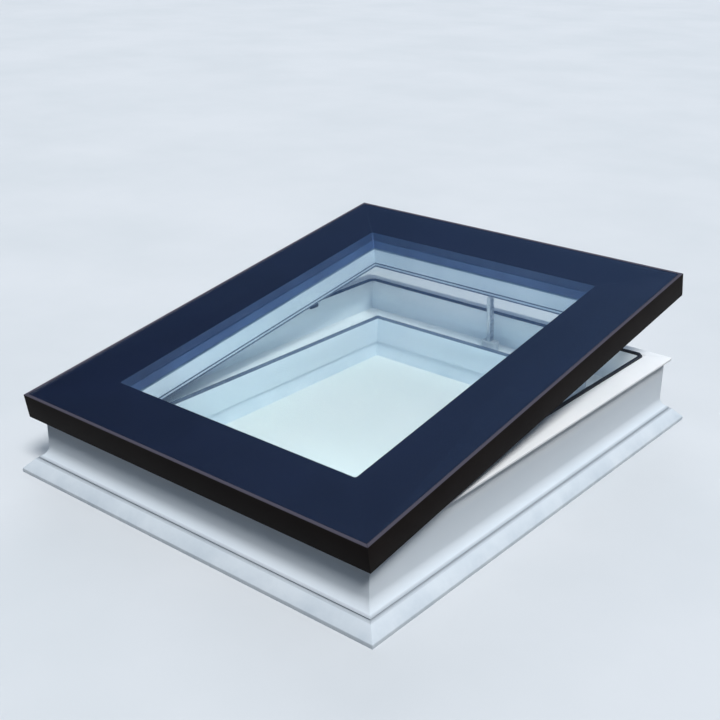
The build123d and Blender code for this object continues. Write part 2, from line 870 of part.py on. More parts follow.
# Sash frame
with BuildPart() as sash_frame:
    with BuildSketch(section_plane(sash_plane)):
        with BuildLine():
            Polyline(
                (sash_outer_inset + sash_chamfer, sash_bottom_height),
                (sash_outer_inset, sash_bottom_height + sash_chamfer),
                (sash_outer_inset, flange_height),
                (flange_inset + sash_chamfer, flange_height),
                (flange_inset, flange_height + sash_chamfer),
                (flange_inset, seat_height),
                (glass_pocket_inset, seat_height),
                (glass_pocket_inset, glass_shelf_height),
                (sash_inner_inset, glass_shelf_height),
                (sash_inner_inset, lip_seal_height + lip_seal_width),
                (sash_inner_inset - lip_seal_depth, lip_seal_height + lip_seal_width),
                (sash_inner_inset - lip_seal_depth, lip_seal_height),
                (sash_inner_inset, lip_seal_height),
                (sash_inner_inset, sash_bottom_height),
                (sash_outer_inset + sash_chamfer, sash_bottom_height),
            )
        make_face()
    sweep(path=foot_route(sash_plane), transition=Transition.RIGHT)
    # recess over the chain's outlet
    recess_y = base_length / 2 - recess_inset - recess_width / 2
    extrude(
        block(
            sash_plane.offset(sash_bottom_height),
            recess_length,
            recess_width,
            (chain_place, recess_y),
        ),
        amount=recess_height - sash_bottom_height,
        mode=Mode.SUBTRACT,
    )
    # holes of the bracket's and the hinges' screws
    with Locations(*spots(plate_underside, bracket_screw_places)):
        add(wood_screw_hole, mode=Mode.SUBTRACT)
    for face in sash_leaf_faces:
        with Locations(*spots(face, screw_places)):
            add(wood_screw_hole, mode=Mode.SUBTRACT)
sash_frame.part.label = "sash_frame"
export_step(sash_frame.part, "parts/sash_frame.step")

# Aluminium cover: skirt, top lip round the glass, hem and the leg that it is held by
with BuildPart() as sash_cover:
    with BuildSketch(section_plane(sash_plane)) as cover_section:
        with BuildLine():
            skirt_bottom = sash_top_height - skirt_height
            skirt_inside = foot_projection + cover_thickness
            Polyline(
                (foot_projection, skirt_bottom),
                (foot_projection, sash_top_height),
                (foot_projection + lip_width, sash_top_height),
                (foot_projection + lip_width, sash_top_height - cover_thickness),
                (skirt_inside, sash_top_height - cover_thickness),
                (skirt_inside, seat_height + cover_thickness),
                (cover_leg_inset, seat_height + cover_thickness),
                (cover_leg_inset, seat_height),
                (skirt_inside, seat_height),
                (skirt_inside, skirt_bottom + cover_thickness),
                (foot_projection + hem_width, skirt_bottom + cover_thickness),
                (foot_projection + hem_width, skirt_bottom),
                (foot_projection, skirt_bottom),
            )
        make_face()
        top_corner = cover_section.vertices().sort_by_distance((foot_projection, sash_top_height))[0]
        fillet(top_corner, cover_round)
    sweep(path=foot_route(sash_plane), transition=Transition.RIGHT)
sash_cover.part.label = "sash_cover"
export_step(sash_cover.part, "parts/sash_cover.step")

# Panes: the outer one reaches the lip, the two inner ones stand in the sash frame
with BuildPart() as outer_pane:
    extrude(sheet(sash_plane.offset(outer_pane_bottom), pane_edge_inset), amount=outer_pane_thickness)
    chamfer(outer_pane.edges().group_by(sash_up)[-1], length=pane_chamfer)
outer_pane.part.label = "outer_pane"
export_step(outer_pane.part, "parts/outer_pane.step")

with BuildPart() as middle_pane:
    extrude(
        sheet(sash_plane.offset(middle_pane_bottom), stepped_pane_inset), amount=inner_pane_thickness
    )
middle_pane.part.label = "middle_pane"
export_step(middle_pane.part, "parts/middle_pane.step")

with BuildPart() as inner_pane:
    extrude(
        sheet(sash_plane.offset(inner_pane_bottom), stepped_pane_inset), amount=inner_pane_thickness
    )
inner_pane.part.label = "inner_pane"
export_step(inner_pane.part, "parts/inner_pane.step")

# Dark enamel border under the outer pane
with BuildPart() as edge_enamel:
    extrude(
        rounded_ring(
            sash_plane.offset(enamel_bottom), pane_edge_inset, sash_inner_inset, spacer_corner_radius
        ),
        amount=enamel_thickness,
    )
edge_enamel.part.label = "edge_enamel"
export_step(edge_enamel.part, "parts/edge_enamel.step")

# Spacer bars of the two cavities
with BuildPart() as upper_spacer:
    extrude(
        rounded_ring(
            sash_plane.offset(middle_pane_top), spacer_inset, sash_inner_inset, spacer_corner_radius
        ),
        amount=enamel_bottom - middle_pane_top,
    )
upper_spacer.part.label = "upper_spacer"
export_step(upper_spacer.part, "parts/upper_spacer.step")

with BuildPart() as lower_spacer:
    extrude(
        rounded_ring(
            sash_plane.offset(inner_pane_top), spacer_inset, sash_inner_inset, spacer_corner_radius
        ),
        amount=middle_pane_bottom - inner_pane_top,
    )
lower_spacer.part.label = "lower_spacer"
export_step(lower_spacer.part, "parts/lower_spacer.step")

# Seals outside the two spacers
with BuildPart() as edge_seals:
    extrude(
        ring(sash_plane.offset(middle_pane_top), stepped_pane_inset, spacer_inset),
        amount=enamel_bottom - middle_pane_top,
    )
    extrude(
        ring(sash_plane.offset(inner_pane_top), stepped_pane_inset, spacer_inset),
        amount=middle_pane_bottom - inner_pane_top,
    )
edge_seals.part.label = "edge_seals"
export_step(edge_seals.part, "parts/edge_seals.step")

# Bond between the outer pane and the cover's leg and sash frame
with BuildPart() as bonding_seal:
    extrude(
        ring(
            sash_plane.offset(seat_height + cover_thickness),
            rim_bond_inset,
            rim_bond_inset + rim_bond_width,
        ),
        amount=enamel_bottom - seat_height - cover_thickness,
    )
    extrude(
        ring(sash_plane.offset(seat_height), bond_inset, bond_inset + bond_width),
        amount=enamel_bottom - seat_height,
    )
bonding_seal.part.label = "bonding_seal"
export_step(bonding_seal.part, "parts/bonding_seal.step")

# Tape that the glass unit stands on
with BuildPart() as glazing_tape:
    extrude(
        ring(
            sash_plane.offset(glass_shelf_height),
            sash_inner_inset - tape_width,
            sash_inner_inset,
        ),
        amount=inner_pane_bottom - glass_shelf_height,
    )
glazing_tape.part.label = "glazing_tape"
export_step(glazing_tape.part, "parts/glazing_tape.step")

# Blocks between the edges of the glass and the sash frame
with BuildPart() as setting_blocks:
    side_x = base_width / 2 - glass_pocket_inset - edge_clearance / 2
    end_y = base_length / 2 - glass_pocket_inset - edge_clearance / 2
    side_places = [side * (base_length / 2 - setting_block_side_inset) for side in (-1, 1)]
    end_places = [side * (base_width / 2 - setting_block_end_inset) for side in (-1, 1)]
    shelf = sash_plane.offset(glass_shelf_height)
    extrude(
        block(
            shelf,
            edge_clearance,
            setting_block_length,
            *[(side * side_x, place) for side in (-1, 1) for place in side_places],
        ),
        amount=setting_block_height,
    )
    extrude(
        block(
            shelf,
            setting_block_length,
            edge_clearance,
            *[(place, end * end_y) for end in (-1, 1) for place in end_places],
        ),
        amount=setting_block_height,
    )
setting_blocks.part.label = "setting_blocks"
export_step(setting_blocks.part, "parts/setting_blocks.step")

# Seals at the bottom of the sash's inner wall
with BuildPart() as sash_lip_seal:
    extrude(
        ring(
            sash_plane.offset(lip_seal_height), sash_inner_inset - lip_seal_depth, sash_inner_inset
        ),
        amount=lip_seal_width,
    )
sash_lip_seal.part.label = "sash_lip_seal"
export_step(sash_lip_seal.part, "parts/sash_lip_seal.step")

with BuildPart() as sash_base_seal:
    extrude(
        ring(
            sash_plane.offset(sash_bottom_height - base_seal_height),
            sash_inner_inset - base_seal_width,
            sash_inner_inset,
        ),
        amount=base_seal_height,
    )
sash_base_seal.part.label = "sash_base_seal"
export_step(sash_base_seal.part, "parts/sash_base_seal.step")

# Moving leaves of the hinges, on the front wall of the sash frame
with BuildPart() as hinge_sash_leaves:
    for place, face in zip(hinge_places, sash_leaf_faces):
        extrude(leaf_outline(face, inner_knuckles), amount=-leaf_thickness)
        for start, end in inner_knuckles:
            extrude(
                knuckle_section(crosswise(sash_plane, place + start, hinge_y, hinge_height), 1),
                amount=end - start,
            )
        with Locations(*spots(face, screw_places)):
            add(wood_screw_hole, mode=Mode.SUBTRACT)
hinge_sash_leaves.part.label = "hinge_sash_leaves"
export_step(hinge_sash_leaves.part, "parts/hinge_sash_leaves.step")

with BuildPart() as hinge_sash_screws:
    for face in sash_leaf_faces:
        with Locations(*spots(face, screw_places)):
            add(wood_screw)
hinge_sash_screws.part.label = "hinge_sash_screws"
export_step(hinge_sash_screws.part, "parts/hinge_sash_screws.step")

# Bracket in the sash's recess: a plate with two ears beside the chain's head
with BuildPart() as chain_bracket:
    plate_bottom = recess_height - bracket_thickness
    extrude(
        block(sash_plane.offset(plate_bottom), bracket_length, bracket_width, (chain_place, recess_y)),
        amount=bracket_thickness,
    )
    ear_places = (plate_height / 2 + ear_gap, -plate_height / 2 - ear_gap - ear_thickness)
    for offset in ear_places:
        with BuildSketch(crosswise(sash_plane, chain_place + offset, drive_y, head_pin_height)):
            Circle(ear_width / 2)
            with Locations((0, (plate_bottom - head_pin_height) / 2)):
                Rectangle(ear_width, plate_bottom - head_pin_height)
            Circle(head_pin_radius + hinge_pin_clearance, mode=Mode.SUBTRACT)
        extrude(amount=ear_thickness)
    with Locations(*spots(plate_underside, bracket_screw_places)):
        add(wood_screw_hole, mode=Mode.SUBTRACT)
chain_bracket.part.label = "chain_bracket"
export_step(chain_bracket.part, "parts/chain_bracket.step")

with BuildPart() as bracket_screws:
    with Locations(*spots(plate_underside, bracket_screw_places)):
        add(wood_screw)
bracket_screws.part.label = "bracket_screws"
export_step(bracket_screws.part, "parts/bracket_screws.step")

# Pin through the ears and the chain's head
with BuildPart() as chain_pin:
    pin_reach = plate_height / 2 + ear_gap + ear_thickness + head_pin_end
    extrude(
        disc(
            crosswise(sash_plane, chain_place - pin_reach, drive_y, head_pin_height),
            head_pin_radius,
            (0, 0),
        ),
        amount=2 * pin_reach,
    )
chain_pin.part.label = "chain_pin"
export_step(chain_pin.part, "parts/chain_pin.step")

# Head of the chain, in line with the leaning run: an eye on a foot as wide as the plates
with BuildPart() as chain_head:
    with BuildSketch(
        Plane(
            origin=head_pin_point - Vector(plate_height / 2, 0, 0),
            x_dir=run_plane.z_dir,
            z_dir=(-1, 0, 0),
        )
    ):
        Circle(head_width / 2)
        with Locations((0, -head_drop / 2)):
            Rectangle(head_width, head_drop)
        with Locations((0, head_foot_height / 2 - head_drop)):
            Rectangle(head_foot_width, head_foot_height)
        Circle(head_pin_radius + hinge_pin_clearance, mode=Mode.SUBTRACT)
    extrude(amount=-plate_height)
chain_head.part.label = "chain_head"
export_step(chain_head.part, "parts/chain_head.step")
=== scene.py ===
import math

import bmesh
import bpy
from mathutils import Matrix, Vector


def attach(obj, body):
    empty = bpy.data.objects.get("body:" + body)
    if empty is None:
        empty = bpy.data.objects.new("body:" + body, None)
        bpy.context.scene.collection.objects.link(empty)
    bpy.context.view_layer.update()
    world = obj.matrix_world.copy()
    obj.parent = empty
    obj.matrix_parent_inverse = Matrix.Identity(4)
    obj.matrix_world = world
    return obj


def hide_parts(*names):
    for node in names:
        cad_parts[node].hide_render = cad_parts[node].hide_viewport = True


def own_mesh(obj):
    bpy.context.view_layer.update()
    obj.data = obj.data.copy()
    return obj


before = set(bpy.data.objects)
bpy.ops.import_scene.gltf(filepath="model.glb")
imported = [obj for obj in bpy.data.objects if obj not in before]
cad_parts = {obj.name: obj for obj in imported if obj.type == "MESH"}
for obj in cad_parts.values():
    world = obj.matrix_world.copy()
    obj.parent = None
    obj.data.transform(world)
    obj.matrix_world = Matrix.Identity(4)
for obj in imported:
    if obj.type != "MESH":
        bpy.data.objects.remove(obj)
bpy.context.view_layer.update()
scene = bpy.context.scene
scene.view_settings.view_transform = "Standard"
print("frame loaded:", len(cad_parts), "nodes")

# The sash stands open: its drawing is made closed, then turned round the hinges
hinge = {"place": Vector((0, -0.481, 0.118)), "opening": math.radians(9.6)}
openSash = (
    Matrix.Translation(hinge["place"])
    @ Matrix.Rotation(hinge["opening"], 4, "X")
    @ Matrix.Translation(-hinge["place"])
)
footprint = {"halfWidth": 0.47, "halfLength": 0.57}


# Nodes

def tone(red, green, blue):
    # colour as it is seen on a screen, turned to scene light
    levels = [level / 255 for level in (red, green, blue)]
    return tuple(
        level / 12.92 if level <= 0.04045 else ((level + 0.055) / 1.055) ** 2.4 for level in levels
    ) + (1,)


def addNode(tree, kind, sockets=None, **settings):
    # a node whose sockets get values, or links where a value is another node's socket
    node = tree.nodes.new(kind)
    for name, value in settings.items():
        setattr(node, name, value)
    for key, value in (sockets or {}).items():
        if isinstance(value, bpy.types.NodeSocket):
            tree.links.new(value, node.inputs[key])
        else:
            node.inputs[key].default_value = value
    return node


def calc(tree, operation, *values):
    sockets = dict(enumerate(values))
    return addNode(tree, "ShaderNodeMath", sockets, operation=operation).outputs[0]


def blendColours(tree, mask, low, high):
    node = addNode(tree, "ShaderNodeMix", {0: mask, 6: low, 7: high}, data_type="RGBA")
    return node.outputs[2]


def span(tree, value, fromLow, fromHigh, toLow=0, toHigh=1):
    sockets = {0: value, 1: fromLow, 2: fromHigh, 3: toLow, 4: toHigh}
    return addNode(tree, "ShaderNodeMapRange", sockets).outputs[0]


def fade(tree, value, reach):
    # 1 at nothing, down to 0 where the value comes to the reach
    return span(tree, calc(tree, "DIVIDE", value, reach), 0, 1, 1, 0)


def noise(tree, vector, scale, detail, roughness=0.5):
    sockets = {"Vector": vector, "Scale": scale, "Detail": detail, "Roughness": roughness}
    return addNode(tree, "ShaderNodeTexNoise", sockets).outputs["Fac"]


def splitVector(tree, vector):
    return addNode(tree, "ShaderNodeSeparateXYZ", {0: vector}).outputs


def edgeDistances(tree, vector):
    # how far inside the footprint's sides and ends a place lies, below 0 outside it
    halves = (footprint["halfWidth"], footprint["halfLength"])
    return [
        calc(tree, "SUBTRACT", half, calc(tree, "ABSOLUTE", part))
        for half, part in zip(halves, splitVector(tree, vector))
    ]


def newGroup(name, inputs, outputs):
    # an input without a value takes a vector, every other socket a number
    tree = bpy.data.node_groups.new(name, "ShaderNodeTree")
    for label, value in inputs.items():
        kind = "NodeSocketVector" if value is None else "NodeSocketFloat"
        socket = tree.interface.new_socket(label, in_out="INPUT", socket_type=kind)
        if value is not None:
            socket.default_value = value
    for label in outputs:
        tree.interface.new_socket(label, in_out="OUTPUT", socket_type="NodeSocketFloat")
    given, out = tree.nodes.new("NodeGroupInput"), tree.nodes.new("NodeGroupOutput")
    return tree, given.outputs, out.inputs


def useGroup(tree, group, sockets):
    return addNode(tree, "ShaderNodeGroup", sockets, node_tree=group).outputs


grainDesign = {
    "Cloud": {"detail": 4, "roughness": 0.55, "range": (0.35, 0.65), "share": 0.6},
    "Grain": {"detail": 2, "roughness": 0.6, "range": (0.3, 0.7), "share": 0.4},
}


def buildGrainGroup(design):
    # cloudy tint, fine grain and their height, for every surface
    tree, given, out = newGroup(
        "surfaceGrain",
        {"Vector": None, "Cloud Scale": 6, "Grain Scale": 900},
        ["Cloud", "Grain", "Height"],
    )
    heights = []
    for label, look in design.items():
        scale = given[label + " Scale"]
        pattern = noise(tree, given["Vector"], scale, look["detail"], look["roughness"])
        tree.links.new(span(tree, pattern, *look["range"]), out[label])
        heights.append(calc(tree, "MULTIPLY", pattern, look["share"]))
    tree.links.new(calc(tree, "ADD", *heights), out["Height"])
    return tree


def buildSeamGroup():
    # thin line where the bars of a frame meet at its corners
    tree, given, out = newGroup("mitreSeam", {"Vector": None, "Line": 0.0008}, ["Seam"])
    across, along = edgeDistances(tree, given["Vector"])
    offset = calc(tree, "ABSOLUTE", calc(tree, "SUBTRACT", across, along))
    far = calc(tree, "DIVIDE", offset, given["Line"])
    seam = calc(tree, "SUBTRACT", 1, calc(tree, "MINIMUM", far, 1))
    tree.links.new(seam, out["Seam"])
    return tree


dustDesign = {"scale": 14, "detail": 6, "roughness": 0.65, "range": (0.34, 0.66)}


def buildDustGroup(design):
    # dust that gathers low down, broken up into patches
    tree, given, out = newGroup("settledDust", {"Vector": None, "Top": 0.05}, ["Dust"])
    vector = given["Vector"]
    low = fade(tree, splitVector(tree, vector)[2], given["Top"])
    pattern = noise(tree, vector, design["scale"], design["detail"], design["roughness"])
    patch = span(tree, pattern, *design["range"])
    tree.links.new(calc(tree, "MULTIPLY", low, patch), out["Dust"])
    return tree


# painted shade: bluish below the rim's top and in the shaft, darker along the outer groove
paintedShadeDesign = {
    "outerDepth": 0.0835,
    # painted bluish shade on the outside, below the rim's top
    "paintedBlueShadeHeights": (0.15, 0.11),  # none above the first, full below the second
    # painted bluish shade over the shaft walls
    "shaftDepth": 0.165,
    "shaftFilm": 1.2,
    # painted shade: a darker band at the height of the outer groove
    "grooveHeight": 0.0325,
    "grooveSpread": 0.0045,
}


def buildPaintedShadeGroup(design):
    # painted bluish shade under the rim's top and in the shaft; painted shade at the outer groove
    tree, given, out = newGroup("paintedOuterShade", {"Vector": None}, ["Film", "PaintedGrooveShade"])
    height = splitVector(tree, given["Vector"])[2]
    depth = calc(tree, "MINIMUM", *edgeDistances(tree, given["Vector"]))
    outside = calc(tree, "LESS_THAN", depth, design["outerDepth"])
    outerFilm = calc(tree, "MULTIPLY", outside, span(tree, height, *design["paintedBlueShadeHeights"]))
    shaft = calc(tree, "GREATER_THAN", depth, design["shaftDepth"])
    shaftFilm = calc(tree, "MULTIPLY", shaft, design["shaftFilm"])
    away = calc(tree, "ABSOLUTE", calc(tree, "SUBTRACT", height, design["grooveHeight"]))
    near = fade(tree, away, design["grooveSpread"])
    tree.links.new(calc(tree, "ADD", outerFilm, shaftFilm), out["Film"])
    tree.links.new(calc(tree, "MULTIPLY", outside, near), out["PaintedGrooveShade"])
    return tree


grainGroup = buildGrainGroup(grainDesign)
seamGroup = buildSeamGroup()
dustGroup = buildDustGroup(dustDesign)
paintedShadeGroup = buildPaintedShadeGroup(paintedShadeDesign)
print("node groups built")


# Materials

def newMaterial(name, fixed):
    # a material with one shader, whose sockets get the fixed values
    material = bpy.data.materials.new(name)
    material.use_nodes = True
    tree = material.node_tree
    shader = tree.nodes["Principled BSDF"]
    for socket, value in fixed.items():
        shader.inputs[socket].default_value = value
    return material, tree, shader.inputs


def placeVector(tree, turned=False):
    # object coordinates, laid flat for what stands open with the sash
    vector = addNode(tree, "ShaderNodeTexCoord").outputs["Object"]
    if not turned:
        return vector
    flat = openSash.inverted()
    node = addNode(tree, "ShaderNodeMapping", {"Vector": vector})
    node.inputs["Location"].default_value = flat.to_translation()
    node.inputs["Rotation"].default_value = flat.to_euler()
    return node.outputs[0]


def grainAt(tree, vector, look):
    sockets = {"Vector": vector, "Cloud Scale": look["cloud"], "Grain Scale": look["grain"]}
    return useGroup(tree, grainGroup, sockets)


def bump(tree, height, distance, strength=1):
    sockets = {"Height": height, "Distance": distance, "Strength": strength}
    return addNode(tree, "ShaderNodeBump", sockets).outputs[0]


def setSurface(tree, inputs, grain, relief, look):
    # roughness from the grain and bumps from the relief
    tree.links.new(span(tree, grain["Grain"], 0, 1, *look["rough"]), inputs["Roughness"])
    tree.links.new(bump(tree, relief, look["height"]), inputs["Normal"])


def whitePlastic(name, turned, look):
    # clean plastic, mitre lines, then dust, painted bluish shade and painted groove shade over it
    material, tree, inputs = newMaterial(name, {"IOR": look["index"]})
    vector = placeVector(tree, turned)
    grain = grainAt(tree, vector, look)
    seam = useGroup(tree, seamGroup, {"Vector": vector})["Seam"]
    dust = useGroup(tree, dustGroup, {"Vector": vector, "Top": look["dustTop"]})["Dust"]
    # painted bluish shade and painted groove shade, laid on like the dust
    paintedShades = useGroup(tree, paintedShadeGroup, {"Vector": vector})
    colour = blendColours(tree, grain["Cloud"], look["low"], look["high"])
    layers = {"seam": seam, "dust": dust, "paintedBlueShade": paintedShades["Film"], "paintedGrooveShade": paintedShades["PaintedGrooveShade"]}
    for layer, mask in layers.items():
        share = calc(tree, "MULTIPLY", mask, look[layer])
        colour = blendColours(tree, share, colour, look[layer + "Tone"])
    tree.links.new(colour, inputs["Base Color"])
    fine = calc(tree, "MULTIPLY", grain["Height"], look["relief"])
    setSurface(tree, inputs, grain, calc(tree, "SUBTRACT", fine, seam), look)
    return material


def powderCoat(name, look):
    # dark coat, with a painted highlight where the lip's top catches the sky
    material, tree, inputs = newMaterial(name, {"IOR": look["index"]})
    vector = placeVector(tree, True)
    grain = grainAt(tree, vector, look)
    height = splitVector(tree, vector)[2]
    seam = useGroup(tree, seamGroup, {"Vector": vector, "Line": look["line"]})["Seam"]
    colour = blendColours(tree, grain["Cloud"], look["low"], look["high"])
    colour = blendColours(tree, span(tree, height, *look["lipHighlightHeights"]), colour, look["lipHighlightTone"])
    tree.links.new(blendColours(tree, seam, colour, look["seamTone"]), inputs["Base Color"])
    setSurface(tree, inputs, grain, calc(tree, "SUBTRACT", grain["Height"], seam), look)
    return material


def coated(look):
    # rubber, plastics, enamel and steel: two tones and a grain
    material, tree, inputs = newMaterial(look["name"], {"Metallic": look.get("metallic", 0)})
    grain = grainAt(tree, placeVector(tree, look.get("turned", False)), look)
    colour = blendColours(tree, grain["Cloud"], look["low"], look["high"])
    tree.links.new(colour, inputs["Base Color"])
    setSurface(tree, inputs, grain, grain["Height"], look)
    return material


def clearGlass(name, look):
    fixed = {"IOR": look["index"], "Roughness": 0, "Transmission Weight": 1, "Metallic": 0}
    material, tree, inputs = newMaterial(name, fixed)
    vector = placeVector(tree, True)
    cloud = noise(tree, vector, look["cloud"], look["cloudDetail"])
    tint = span(tree, cloud, *look["cloudRange"])
    tree.links.new(blendColours(tree, tint, look["low"], look["high"]), inputs["Base Color"])
    wave = noise(tree, vector, look["wave"], look["waveDetail"])
    waves = bump(tree, wave, look["waveHeight"], look["waveStrength"])
    tree.links.new(waves, inputs["Normal"])
    # light passes the panes on its way in; they show to the camera and in reflections
    path = addNode(tree, "ShaderNodeLightPath").outputs
    light = calc(tree, "MAXIMUM", path["Is Shadow Ray"], path["Is Diffuse Ray"])
    tree.links.new(span(tree, light, 0, 1, 1, look["held"]), inputs["Alpha"])
    return material


kerbLook = {
    "index": 1.4,
    "low": tone(241, 245, 248),
    "high": tone(247, 249, 251),
    "seam": 0.55,
    "seamTone": tone(188, 196, 205),
    "dust": 0.65,
    "dustTop": 0.045,
    "dustTone": tone(166, 177, 188),
    # painted bluish shade below the rim's top and in the shaft
    "paintedBlueShade": 0.5,
    "paintedBlueShadeTone": tone(198, 215, 230),
    # painted shade along the outer groove
    "paintedGrooveShade": 0.75,
    "paintedGrooveShadeTone": tone(100, 108, 118),
    "cloud": 5,
    "grain": 700,
    "rough": (0.34, 0.5),
    "relief": 0.25,
    "height": 0.00012,
}
# the kerb's plastic in darker, bluer tones for the sash: painted bluish shade
shadedSashLook = dict(
    kerbLook, low=tone(204, 217, 231), high=tone(214, 226, 238), dust=0, paintedBlueShade=0, paintedGrooveShade=0
)
coverLook = {
    "index": 1.1,
    "low": tone(22, 17, 15),
    "high": tone(28, 23, 21),
    # painted highlight along the lip's top
    "lipHighlightHeights": (0.1906, 0.1912),
    "lipHighlightTone": tone(78, 75, 86),
    "line": 0.0007,
    "seamTone": tone(12, 10, 10),
    "cloud": 8,
    "grain": 1500,
    "rough": (0.42, 0.56),
    "height": 0.00005,
}
glassLook = {
    "index": 1.52,
    "low": tone(247, 253, 252),
    "high": tone(250, 254, 253),
    "cloud": 3,
    "cloudDetail": 2,
    "cloudRange": (0.3, 0.7),
    "wave": 5,
    "waveDetail": 1,
    "waveHeight": 0.0002,
    "waveStrength": 0.2,
    "held": 0.04,  # share of the light that each surface holds back
}
innerGlassLook = dict(glassLook, index=1.27, low=tone(249, 253, 252), high=tone(252, 254, 254))
rubberGrain = {"cloud": 18, "grain": 800, "rough": (0.5, 0.7), "height": 0.00006}
plasticGrain = {"cloud": 20, "grain": 1400, "rough": (0.37, 0.53), "height": 0.00005}
spacerGrain = {"cloud": 12, "grain": 900, "rough": (0.37, 0.53), "height": 0.00003, "turned": True}
tapeGrain = {"cloud": 25, "grain": 600, "rough": (0.6, 0.8), "height": 0.00008}
enamelGrain = {"cloud": 4, "grain": 2000, "rough": (0.25, 0.35), "height": 0.00001, "turned": True}
steelGrain = {"cloud": 60, "grain": 1200, "rough": (0.25, 0.42), "height": 0.00003, "metallic": 1}
coatLooks = {
    "rubber": ("blackRubber", rubberGrain, (14, 16, 21), (28, 31, 37)),
    "greyRubber": ("greyRubber", rubberGrain, (72, 82, 98), (88, 98, 114)),
    "tape": ("greyTape", tapeGrain, (96, 118, 140), (118, 140, 160)),
    "blackPlastic": ("blackPlastic", plasticGrain, (22, 24, 28), (34, 37, 42)),
    "greyPlastic": ("greyPlastic", plasticGrain, (150, 156, 162), (172, 178, 184)),
    "enamel": ("darkEnamel", enamelGrain, (12, 17, 36), (16, 22, 44)),
    "spacer": ("spacerBar", spacerGrain, (38, 56, 92), (48, 68, 106)),
    "paleSpacer": ("paleSpacerBar", spacerGrain, (58, 80, 122), (68, 94, 138)),
    "steel": ("zincSteel", steelGrain, (186, 192, 198), (214, 218, 222)),
}
finishes = {
    "kerb": whitePlastic("kerbPlastic", False, kerbLook),
    "sash": whitePlastic("shadedSashPlastic", True, shadedSashLook),
    "cover": powderCoat("darkCover", coverLook),
    "glass": clearGlass("clearGlass", glassLook),
    "coatedGlass": clearGlass("coatedGlass", innerGlassLook),
}
for key, (name, grain, low, high) in coatLooks.items():
    finishes[key] = coated(dict(grain, name=name, low=tone(*low), high=tone(*high)))
nodesOf = {
    "kerb": ["kerb_frame", "drive_cover"],
    "sash": ["sash_frame"],
    "cover": ["sash_cover"],
    "glass": ["outer_pane"],
    "coatedGlass": ["middle_pane", "inner_pane"],
    "enamel": ["edge_enamel"],
    "spacer": ["upper_spacer"],
    "paleSpacer": ["lower_spacer"],
    "rubber": ["rim_gasket", "cable_grommet", "edge_seals", "bonding_seal"],
    "greyRubber": ["nib_gasket", "sash_lip_seal", "sash_base_seal"],
    "tape": ["glazing_tape"],
    "blackPlastic": ["locating_blocks", "drive_housing", "drive_gearbox", "setting_blocks"],
    "greyPlastic": ["outlet_guide"],
    "steel": [
        "hinge_frame_leaves", "hinge_frame_screws", "hinge_pins", "hinge_sash_leaves",
        "hinge_sash_screws", "drive_cover_screws", "drive_motor", "drive_sprocket",
        "push_chain", "chain_bracket", "bracket_screws", "chain_pin", "chain_head",
    ],
}
for finish, nodeNames in nodesOf.items():
    for nodeName in nodeNames:
        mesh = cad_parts[nodeName].data
        mesh.materials.clear()
        mesh.materials.append(finishes[finish])
print("materials on", sum(map(len, nodesOf.values())), "nodes")


# Shapes

def meshOf(shape, name):
    mesh = bpy.data.meshes.new(name)
    shape.to_mesh(mesh)
    shape.free()
    return mesh


def addTo(shape, part):
    # joins one shape to another
    mesh = meshOf(part, "part")
    shape.from_mesh(mesh)
    bpy.data.meshes.remove(mesh)


def finishPiece(name, shape, finish, body, nodes, sharp=30):
    # mesh of a piece with its finish, its body and the nodes it stands for
    for face in shape.faces:
        face.smooth = True
    mesh = meshOf(shape, name)
    mesh.set_sharp_from_angle(angle=math.radians(sharp))
    mesh.materials.append(finishes[finish])
    piece = bpy.data.objects.new(name, mesh)
    scene.collection.objects.link(piece)
    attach(piece, body)
    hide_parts(*nodes)
    print("made", name, len(mesh.polygons), "faces")
    return piece


def openWithSash(shape):
    bmesh.ops.transform(shape, matrix=openSash, verts=shape.verts)
    return shape


def flatFace(halfX, halfY):
    shape = bmesh.new()
    bmesh.ops.create_grid(shape, x_segments=1, y_segments=1, size=1)
    bmesh.ops.scale(shape, verts=shape.verts, vec=(halfX, halfY, 1))
    return shape


def roundOff(shape, parts, offset, segments, affect="VERTICES"):
    # rounds corners, or edges; a single segment cuts them straight
    bmesh.ops.bevel(
        shape, geom=parts, offset=offset, offset_type="OFFSET",
        affect=affect, segments=segments, profile=0.5, material=-1,
    )


def drawOut(shape, move, **options):
    # makes a solid of a flat shape
    grown = bmesh.ops.extrude_face_region(shape, geom=shape.faces[:], **options)["geom"]
    moved = [part for part in grown if isinstance(part, bmesh.types.BMVert)]
    bmesh.ops.translate(shape, verts=moved, vec=move)


def cutterBox(shape, box):
    made = bmesh.ops.create_cube(shape, size=1)["verts"]
    bmesh.ops.scale(shape, verts=made, vec=box["size"])
    bmesh.ops.translate(shape, verts=made, vec=box["place"])


def rod(shape, centre, radius, length, sides=24, endRadius=None, lying=False):
    # round bar, or a cone, upright or along Y, round its own centre
    made = bmesh.ops.create_cone(
        shape,
        cap_ends=True,
        segments=sides,
        radius1=radius,
        radius2=radius if endRadius is None else endRadius,
        depth=length,
    )["verts"]
    if lying:
        turn = Matrix.Rotation(math.radians(90), 3, "X")
        bmesh.ops.rotate(shape, verts=made, cent=(0, 0, 0), matrix=turn)
    bmesh.ops.translate(shape, verts=made, vec=centre)


weld = {"bars": 0.00001, "cuts": 0.000005}


